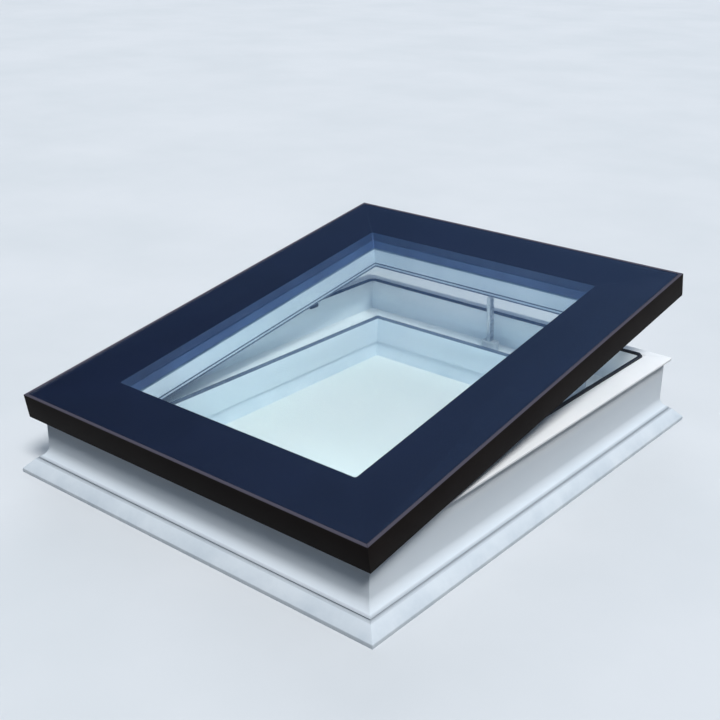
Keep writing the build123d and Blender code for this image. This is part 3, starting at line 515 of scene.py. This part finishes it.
def mitredBar(section, halfWidth, halfLength, turn):
    # right-hand bar from the corners of its section (inset, height, rounding, segments), in mm
    bar = bmesh.new()
    corners = [
        bar.verts.new((halfWidth - inset / 1000, -halfLength, height / 1000))
        for inset, height, *rounding in section
    ]
    bar.faces.new(corners)
    for corner, (inset, height, *rounding) in zip(corners, section):
        if rounding:
            roundOff(bar, [corner], rounding[0] / 1000, rounding[1])
    drawOut(bar, (0, 2 * halfLength, 0))
    ends = [face for face in bar.faces if len(face.verts) == len(bar.verts) / 2]
    bmesh.ops.delete(bar, geom=ends, context="FACES_ONLY")
    for vert in bar.verts:
        vert.co.y -= math.copysign(halfWidth - vert.co.x, vert.co.y)  # slants the ends
    turned = Matrix.Rotation(turn, 3, "Z")
    bmesh.ops.rotate(bar, verts=bar.verts, cent=(0, 0, 0), matrix=turned)
    return bar


def mitredFrame(section):
    # four bars of one section, joined at the corners
    shape = bmesh.new()
    for quarter in range(4):
        sizes = (footprint["halfWidth"], footprint["halfLength"])
        if quarter % 2:
            sizes = sizes[::-1]
        addTo(shape, mitredBar(section, *sizes, math.radians(90 * quarter)))
    bmesh.ops.remove_doubles(shape, verts=shape.verts, dist=weld["bars"])
    bmesh.ops.recalc_face_normals(shape, faces=shape.faces)
    return shape


def cut(shape, cutters):
    # subtracts one mesh from another and gives the rest
    bmesh.ops.recalc_face_normals(cutters, faces=cutters.faces)
    body = bpy.data.objects.new("body", meshOf(shape, "body"))
    tool = bpy.data.objects.new("tool", meshOf(cutters, "tool"))
    for helper in (body, tool):
        scene.collection.objects.link(helper)
    boolean = body.modifiers.new("cut", "BOOLEAN")
    boolean.operation = "DIFFERENCE"
    boolean.solver = "EXACT"
    boolean.object = tool
    ready = body.evaluated_get(bpy.context.evaluated_depsgraph_get())
    rest = bmesh.new()
    rest.from_mesh(ready.to_mesh())
    for helper in (body, tool):
        mesh = helper.data
        bpy.data.objects.remove(helper)
        bpy.data.meshes.remove(mesh)
    bmesh.ops.remove_doubles(rest, verts=rest.verts, dist=weld["cuts"])
    return rest


# Sash cover: skirt, thin lip round the glass, folded hem
coverDesign = {
    "section": [
        (20, 138, 0.8, 3),
        (20, 192, 1.2, 4),
        (27, 192, 0.8, 3),
        (27, 190),
        (22, 190),
        (22, 182.6),
        (100, 182.6),
        (100, 180.6),
        (22, 180.6),
        (22, 140),
        (26, 140),
        (26, 138, 0.6, 3),
    ],
}
finishPiece(
    "glassCover", openWithSash(mitredFrame(coverDesign["section"])),
    "cover", "sash", ["sash_cover"],
)


# Kerb: foot with its groove and cove, neck, rim, rebate with trough and nib
kerbDesign = {
    "section": [
        (0, 0),
        (0, 8, 1, 3),
        (22, 31, 2.2, 5),
        (26.5, 31),
        (26.5, 33.4),
        (24, 33.4, 1.2, 4),
        (42, 39.87, 19.1, 12),
        (42, 143, 1.5, 3),
        (30, 150, 0.5, 2),
        (29, 151, 0.5, 2),
        (29, 155, 0.8, 2),
        (30, 156, 0.5, 2),
        (74, 164, 0.6, 2),
        (74, 162),
        (83, 162, 0.6, 2),
        (83, 86, 2, 3),
        (167, 86, 2, 3),
        (167, 104),
        (175, 104),
        (175, 42, 0.6, 2),
        (169, 42),
        (169, 0),
    ],
    "corner": {"inset": 0.029, "radius": 0.007, "low": 0.143, "high": 0.17, "segments": 8},
    "pocket": {"place": (-0.01, 0.445, 0.065), "size": (0.36, 0.05, 0.062)},
    "fixing": {"radius": 0.004, "height": 0.04, "length": 0.12,
               "places": [(0.345, 0.35), (0.25, 0.445)]},
    "cableWay": {"place": (0.15, 0.405, 0.06), "radius": 0.0062, "length": 0.08},
}


def cornerCutter(corner, sideX, sideY):
    # what a rounded corner leaves of a square one
    x = sideX * (footprint["halfWidth"] - corner["inset"])
    y = sideY * (footprint["halfLength"] - corner["inset"])
    inX, inY = -sideX * corner["radius"], -sideY * corner["radius"]
    outline = [(inX, -inY), (inX, 0), (0, 0), (0, inY), (-inX, inY), (-inX, -inY)]
    shape = bmesh.new()
    corners = [shape.verts.new((x + a, y + b, corner["low"])) for a, b in outline]
    shape.faces.new(corners)
    roundOff(shape, [corners[2]], corner["radius"], corner["segments"])
    drawOut(shape, (0, 0, corner["high"] - corner["low"]), use_keep_orig=True)
    return shape


def buildKerb(design):
    cutters = bmesh.new()
    fixing, cableWay = design["fixing"], design["cableWay"]
    for sideX in (-1, 1):
        for sideY in (-1, 1):
            addTo(cutters, cornerCutter(design["corner"], sideX, sideY))
            for x, y in fixing["places"]:
                centre = (sideX * x, sideY * y, fixing["height"])
                rod(cutters, centre, fixing["radius"], fixing["length"])
    cutterBox(cutters, design["pocket"])
    rod(cutters, cableWay["place"], cableWay["radius"], cableWay["length"], lying=True)
    shape = cut(mitredFrame(design["section"]), cutters)
    finishPiece("kerbBase", shape, "kerb", "kerb", ["kerb_frame"])


buildKerb(kerbDesign)


# Sash frame: chamfered foot, flange under the cover, shelf for the glass, recess for the bracket
sashDesign = {
    "section": [
        (95, 91, 2, 2),
        (95, 169.8, 1, 2),
        (60, 169.8, 2, 2),
        (60, 180.6),
        (134.5, 180.6),
        (134.5, 135),
        (158, 135, 0.8, 2),
        (158, 99),
        (156, 99),
        (156, 95),
        (158, 95),
        (158, 91, 0.8, 2),
    ],
    "recess": {"place": (0.015, 0.445, 0.1), "size": (0.05, 0.036, 0.06)},
}


def buildSash(design):
    cutters = bmesh.new()
    cutterBox(cutters, design["recess"])
    shape = cut(mitredFrame(design["section"]), cutters)
    finishPiece("sashBars", openWithSash(shape), "sash", "sash", ["sash_frame"])


buildSash(sashDesign)


# Seals: strips laid round as rings, from the outer edge inward, rounded where they show
sealDesigns = {
    "rimSeal": {"inset": 0.075, "width": 0.008, "low": 0.162, "height": 0.0053, "cut": 0.012,
                "round": 0.0022, "body": "kerb", "node": "rim_gasket", "finish": "rubber"},
    "nibSeal": {"inset": 0.167, "width": 0.008, "low": 0.104, "height": 0.006, "cut": 0,
                "round": 0.003, "body": "kerb", "node": "nib_gasket", "finish": "greyRubber"},
    "lipSeal": {"inset": 0.156, "width": 0.002, "low": 0.095, "height": 0.004, "cut": 0,
                "round": 0.0006, "body": "sash", "node": "sash_lip_seal",
                "finish": "greyRubber"},
    "baseSeal": {"inset": 0.15, "width": 0.008, "low": 0.0867, "height": 0.0043, "cut": 0,
                 "round": 0.0015, "body": "sash", "node": "sash_base_seal",
                 "finish": "greyRubber"},
}
sealEdges = {"segments": 4, "heightSlack": 1e-6, "angleSlack": 0.1, "sharp": 50}


def buildSeal(name, design):
    shape = flatFace(
        footprint["halfWidth"] - design["inset"], footprint["halfLength"] - design["inset"]
    )
    if design["cut"]:
        roundOff(shape, shape.verts[:], design["cut"], 1)
    hole = shape.faces[:]
    bmesh.ops.inset_region(
        shape, faces=hole, thickness=design["width"], use_even_offset=True, use_boundary=True
    )
    bmesh.ops.delete(shape, geom=hole, context="FACES_ONLY")
    drawOut(shape, (0, 0, design["height"]), use_keep_orig=True)
    bmesh.ops.recalc_face_normals(shape, faces=shape.faces)
    level = design["height"] if design["body"] == "kerb" else 0  # the side that shows
    rims = [
        edge for edge in shape.edges
        if all(abs(v.co.z - level) < sealEdges["heightSlack"] for v in edge.verts)
        and abs(edge.calc_face_angle(0) - math.pi / 2) < sealEdges["angleSlack"]
    ]
    roundOff(shape, rims, design["round"], sealEdges["segments"], "EDGES")
    bmesh.ops.translate(shape, verts=shape.verts, vec=(0, 0, design["low"]))
    if design["body"] == "sash":
        openWithSash(shape)
    finishPiece(
        name, shape, design["finish"], design["body"], [design["node"]],
        sealEdges["sharp"],
    )


for sealName, sealDesign in sealDesigns.items():
    buildSeal(sealName, sealDesign)


# Screws: countersunk heads with a round recess
screwDesigns = {
    "hinge": {"head": 0.0039, "shank": 0.0019, "length": 0.016, "recess": 0.0019, "deep": 0.0012},
    "lid": {"head": 0.003, "shank": 0.0015, "length": 0.014, "recess": 0.0014, "deep": 0.001},
}
screwMesh = {"headSides": 18, "shankSides": 12, "overlap": 0.0001, "sharp": 40}
hingeScrews = [side * 0.3 + step for side in (-1, 1) for step in (-0.022, 0.022)]
screwRows = {
    "hinge_frame_screws": {"body": "kerb", "kind": "hinge", "turn": -90,
                           "places": [(x, -0.485, 0.136) for x in hingeScrews]},
    "hinge_sash_screws": {"body": "sash", "kind": "hinge", "turn": 90,
                          "places": [(x, -0.477, 0.136) for x in hingeScrews]},
    "bracket_screws": {"body": "sash", "kind": "hinge", "turn": 180,
                       "places": [(0.015 + step, 0.454, 0.127) for step in (-0.018, 0.018)]},
    "drive_cover_screws": {"body": "kerb", "kind": "lid", "turn": 0,
                           "places": [(-0.01 + a * 0.1727, 0.445 + b * 0.0177, 0.086)
                                      for a in (-1, 1) for b in (-1, 1)]},
}


def screwShape(design):
    # upright screw, the top of its head at the origin
    screw = bmesh.new()
    neck = design["head"] - design["shank"]
    rod(screw, (0, 0, -neck / 2), design["shank"], neck, screwMesh["headSides"], design["head"])
    top = max(screw.faces, key=lambda face: face.calc_center_median().z)
    wide = design["head"] - design["recess"]
    bmesh.ops.inset_individual(screw, faces=[top], thickness=wide, depth=0)
    grown = bmesh.ops.extrude_discrete_faces(screw, faces=[top])["faces"]
    bmesh.ops.translate(screw, verts=grown[0].verts, vec=(0, 0, -design["deep"]))
    shank = design["length"] - neck + screwMesh["overlap"]
    centre = (0, 0, shank / 2 - design["length"])
    rod(screw, centre, design["shank"], shank, screwMesh["shankSides"])
    return screw


def buildScrews(node, row):
    shape = bmesh.new()
    for place in row["places"]:
        screw = screwShape(screwDesigns[row["kind"]])
        matrix = Matrix.Translation(place) @ Matrix.Rotation(math.radians(row["turn"]), 4, "X")
        bmesh.ops.transform(screw, matrix=matrix, verts=screw.verts)
        addTo(shape, screw)
    if row["body"] == "sash":
        openWithSash(shape)
    finishPiece(
        node + "_set", shape, "steel", row["body"], [node], screwMesh["sharp"]
    )


for nodeName, row in screwRows.items():
    buildScrews(nodeName, row)


# Push chain: side plates, rollers and pins, from the drive up to the sash
chainDesign = {
    "outlet": Vector((0.015, 0.445, 0.110)),
    "headPin": Vector((0.015, 0.431699, 0.2744)),
    "sprocket": Vector((0.00027, 0.445, 0.059621)),
    "pitch": 0.0100758,
    "pitchRadius": 0.0147298,
    "teeth": 9,
    "runLinks": 16,
    "guidedLinks": 4,
    "turnedPins": 3,
    "storedLinks": 3,
    "plateHeight": 0.009,
    "plateThickness": 0.002,
    "plateRound": 0.0034,
    "plateSegments": 3,
    "innerOffset": 0.0048,
    "roller": 0.003,
    "turnRoller": 0.002,  # slim, so that the teeth clear it at any turn
    "rollerSides": 16,
    "pin": 0.0017,
    "pinReach": 0.0093,
    "pinSides": 12,
}


def linkPlate(design, start, end, level):
    # side plate with rounded ends between two pins
    middle, along = (start + end) / 2, end - start
    plate = flatFace((along.length + design["plateHeight"]) / 2, design["plateHeight"] / 2)
    roundOff(plate, plate.verts[:], design["plateRound"], design["plateSegments"])
    drawOut(plate, (0, 0, design["plateThickness"]), use_keep_orig=True)
    bmesh.ops.recalc_face_normals(plate, faces=plate.faces)
    turn = Matrix.Rotation(math.atan2(along.y, along.x), 4, "Z")
    matrix = Matrix.Translation((middle.x, middle.y, level)) @ turn
    bmesh.ops.transform(plate, verts=plate.verts, matrix=matrix)
    return plate


def chainOf(design, pins, first, roller):
    # links along a row of pins on the XY plane; outer and inner plates take turns
    shape = bmesh.new()
    for count, (start, end) in enumerate(zip(pins, pins[1:])):
        outer = (first + count) % 2 == 0
        offset = design["innerOffset"] + (design["plateThickness"] if outer else 0)
        for level in (offset, -offset - design["plateThickness"]):
            addTo(shape, linkPlate(design, start, end, level))
    for pin in pins:
        centre = (pin.x, pin.y, 0)
        rod(shape, centre, roller, 2 * design["innerOffset"], design["rollerSides"])
        rod(shape, centre, design["pin"], 2 * design["pinReach"], design["pinSides"])
    return shape


def standUp(shape, origin, xAxis, zAxis):
    # takes a shape from the XY plane to its own plane
    turn = Matrix((xAxis, zAxis.cross(xAxis), zAxis)).transposed().to_4x4()
    bmesh.ops.transform(shape, verts=shape.verts, matrix=Matrix.Translation(origin) @ turn)


def buildChain(design):
    # the run shortens with the hinge; the turn round the sprocket stays
    pitch, radius = design["pitch"], design["pitchRadius"]
    step = math.radians(360 / design["teeth"])
    rise = (design["headPin"] - design["outlet"]).normalized()
    sideways = Vector((1, 0, 0))
    start = design["outlet"] - rise * pitch
    runPins = [Vector((0, i * pitch)) for i in range(design["runLinks"], -1, -1)]
    run = chainOf(design, runPins, 0, design["roller"])
    standUp(run, start, sideways, sideways.cross(rise))
    piece = finishPiece("chainRun", run, "steel", "kerb", ["push_chain"])
    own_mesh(piece)
    guided = [Vector((radius, i * pitch)) for i in range(design["guidedLinks"], 0, -1)]
    turned = [
        Vector((radius * math.cos(step * i), -radius * math.sin(step * i)))
        for i in range(design["turnedPins"])
    ]
    last = turned[-1]
    stored = [Vector((last.x - i * pitch, last.y)) for i in range(1, design["storedLinks"] + 1)]
    pins = guided + turned + stored
    turn = chainOf(design, pins, design["runLinks"] % 2, design["turnRoller"])
    standUp(turn, design["sprocket"], sideways, Vector((0, -1, 0)))
    finishPiece("chainTurn", turn, "steel", "kerb", ["push_chain"])


buildChain(chainDesign)


# Surroundings

floorLook = {
    "half": 20,
    "low": tone(212, 216, 220),
    "high": tone(218, 221, 225),
    "room": tone(220, 224, 222),
    "bounce": (0.03, 0.03, 0.03, 1),
    "roughness": 0.8,
    "cloud": 1.5,
    "grain": 300,
    "height": 0.0002,
}


def floorPaint(look):
    # pale, and paler under the shaft; outside the footprint it gives back little light
    material, tree, inputs = newMaterial("floorPaint", {"Roughness": look["roughness"]})
    vector = placeVector(tree)
    grain = grainAt(tree, vector, look)
    depth = calc(tree, "MINIMUM", *edgeDistances(tree, vector))
    outside = calc(tree, "LESS_THAN", depth, 0)
    pale = blendColours(tree, grain["Cloud"], look["low"], look["high"])
    seen = blendColours(tree, outside, look["room"], pale)
    bounce = addNode(tree, "ShaderNodeLightPath").outputs["Is Diffuse Ray"]
    dull = calc(tree, "MULTIPLY", outside, bounce)
    tree.links.new(blendColours(tree, dull, seen, look["bounce"]), inputs["Base Color"])
    tree.links.new(bump(tree, grain["Height"], look["height"]), inputs["Normal"])
    return material


def buildFloor(look):
    mesh = meshOf(flatFace(look["half"], look["half"]), "studioFloor")
    mesh.materials.append(floorPaint(look))
    floor = bpy.data.objects.new("studioFloor", mesh)
    scene.collection.objects.link(floor)


worldLook = {
    "skySpan": (-0.8, 0.2),
    "sky": [
        (0.001, (0.025, 0.05, 0.13, 1)),
        (0.38, (0.115, 0.215, 0.46, 1)),
        (0.999, (0.30, 0.42, 0.62, 1)),
    ],
    "haze": 0.16,
    "horizon": (0.86, 0.88, 0.90, 1),
    "ambientSpan": (0.4, 1),
    "ambient": [(0.012, 0.02, 0.03, 1), (0.23, 0.32, 0.42, 1)],
}


def buildWorld(look):
    # seen rays meet a blue sky, paler to the right and at the horizon; diffuse rays a soft dome
    world = bpy.data.worlds.new("studioSky")
    scene.world = world
    world.use_nodes = True
    tree = world.node_tree
    background = tree.nodes["Background"]
    direction = addNode(tree, "ShaderNodeTexCoord").outputs["Generated"]
    sideways, _, upward = splitVector(tree, direction)
    ramp = addNode(tree, "ShaderNodeValToRGB", {0: span(tree, sideways, *look["skySpan"])})
    stops = ramp.color_ramp.elements
    for place, colour in look["sky"]:
        stops.new(place).color = colour
    stops.remove(stops[0])
    stops.remove(stops[-1])
    high = span(tree, upward, 0, look["haze"])
    seen = blendColours(tree, high, look["horizon"], ramp.outputs[0])
    ambient = blendColours(tree, span(tree, upward, *look["ambientSpan"]), *look["ambient"])
    diffuse = addNode(tree, "ShaderNodeLightPath").outputs["Is Diffuse Ray"]
    tree.links.new(blendColours(tree, diffuse, seen, ambient), background.inputs["Color"])


# Suns from outside; the lamp behind would show in the glass, so only its light is there
suns = {
    "keyLight": {"aim": (-0.48, 0.32, -0.82), "angle": 16, "power": 2.75,
                 "colour": (1, 0.99, 0.97), "seen": True},
    "topLight": {"aim": (-0.1, 0, -1), "angle": 80, "power": 0.48,
                 "colour": (0.97, 0.99, 1), "seen": True},
    "backLight": {"aim": (0.62, -0.72, -0.45), "angle": 40, "power": 0.6,
                  "colour": (0.95, 0.98, 1), "seen": False},
}
# Lamps in the shaft, in place of the daylight of a room; only their light is there
shaftLamps = {
    "roomLight": {"place": (0.06, -0.3, 0.12), "target": (0.06, 0.45, 0.47),
                  "size": (0.4, 0.05), "power": 0.7},
    "sideLight": {"place": (0.27, 0.05, 0.12), "target": (-0.4, 0.05, 0.43),
                  "size": (0.6, 0.05), "power": 0.25},
    "backRebateLight": {"place": (0, 0.39, 0.128), "target": (0, 0.487, 0.12),
                        "size": (0.6, 0.04), "power": 0.065},
    "leftRebateLight": {"place": (-0.29, 0.17, 0.128), "target": (-0.387, 0.17, 0.12),
                        "size": (0.55, 0.04), "power": 0.055},
}
shaftColour = (0.8, 0.95, 1)


def addLamp(name, kind, aim, power, colour, seen):
    lamp = bpy.data.lights.new(name, kind)
    lamp.energy = power
    lamp.color = colour
    holder = bpy.data.objects.new(name, lamp)
    holder.visible_camera = holder.visible_glossy = holder.visible_transmission = seen
    holder.rotation_euler = aim.to_track_quat("-Z", "Y").to_euler()
    scene.collection.objects.link(holder)
    return holder, lamp


def buildLamps():
    for name, look in suns.items():
        aim = Vector(look["aim"])
        holder, lamp = addLamp(name, "SUN", aim, look["power"], look["colour"], look["seen"])
        lamp.angle = math.radians(look["angle"])
    for name, look in shaftLamps.items():
        aim = Vector(look["target"]) - Vector(look["place"])
        holder, lamp = addLamp(name, "AREA", aim, look["power"], shaftColour, False)
        holder.location = look["place"]
        lamp.shape = "RECTANGLE"
        lamp.size, lamp.size_y = look["size"]


cameraLook = {
    "sensor": 36,
    "lens": 58.31,
    "clipEnd": 100,
    "place": (1.44208, -1.79403, 1.15730),
    "turn": (67.4262, -0.5162, 39.5717),
}


def buildCamera(look):
    camera = bpy.data.cameras.new("photoView")
    camera.sensor_width = look["sensor"]
    camera.lens = look["lens"]
    camera.clip_end = look["clipEnd"]
    holder = bpy.data.objects.new("photoView", camera)
    holder.location = look["place"]
    holder.rotation_euler = [math.radians(angle) for angle in look["turn"]]
    scene.collection.objects.link(holder)
    scene.camera = holder


buildFloor(floorLook)
buildWorld(worldLook)
buildLamps()
buildCamera(cameraLook)
print("floor, sky, lamps and camera placed")
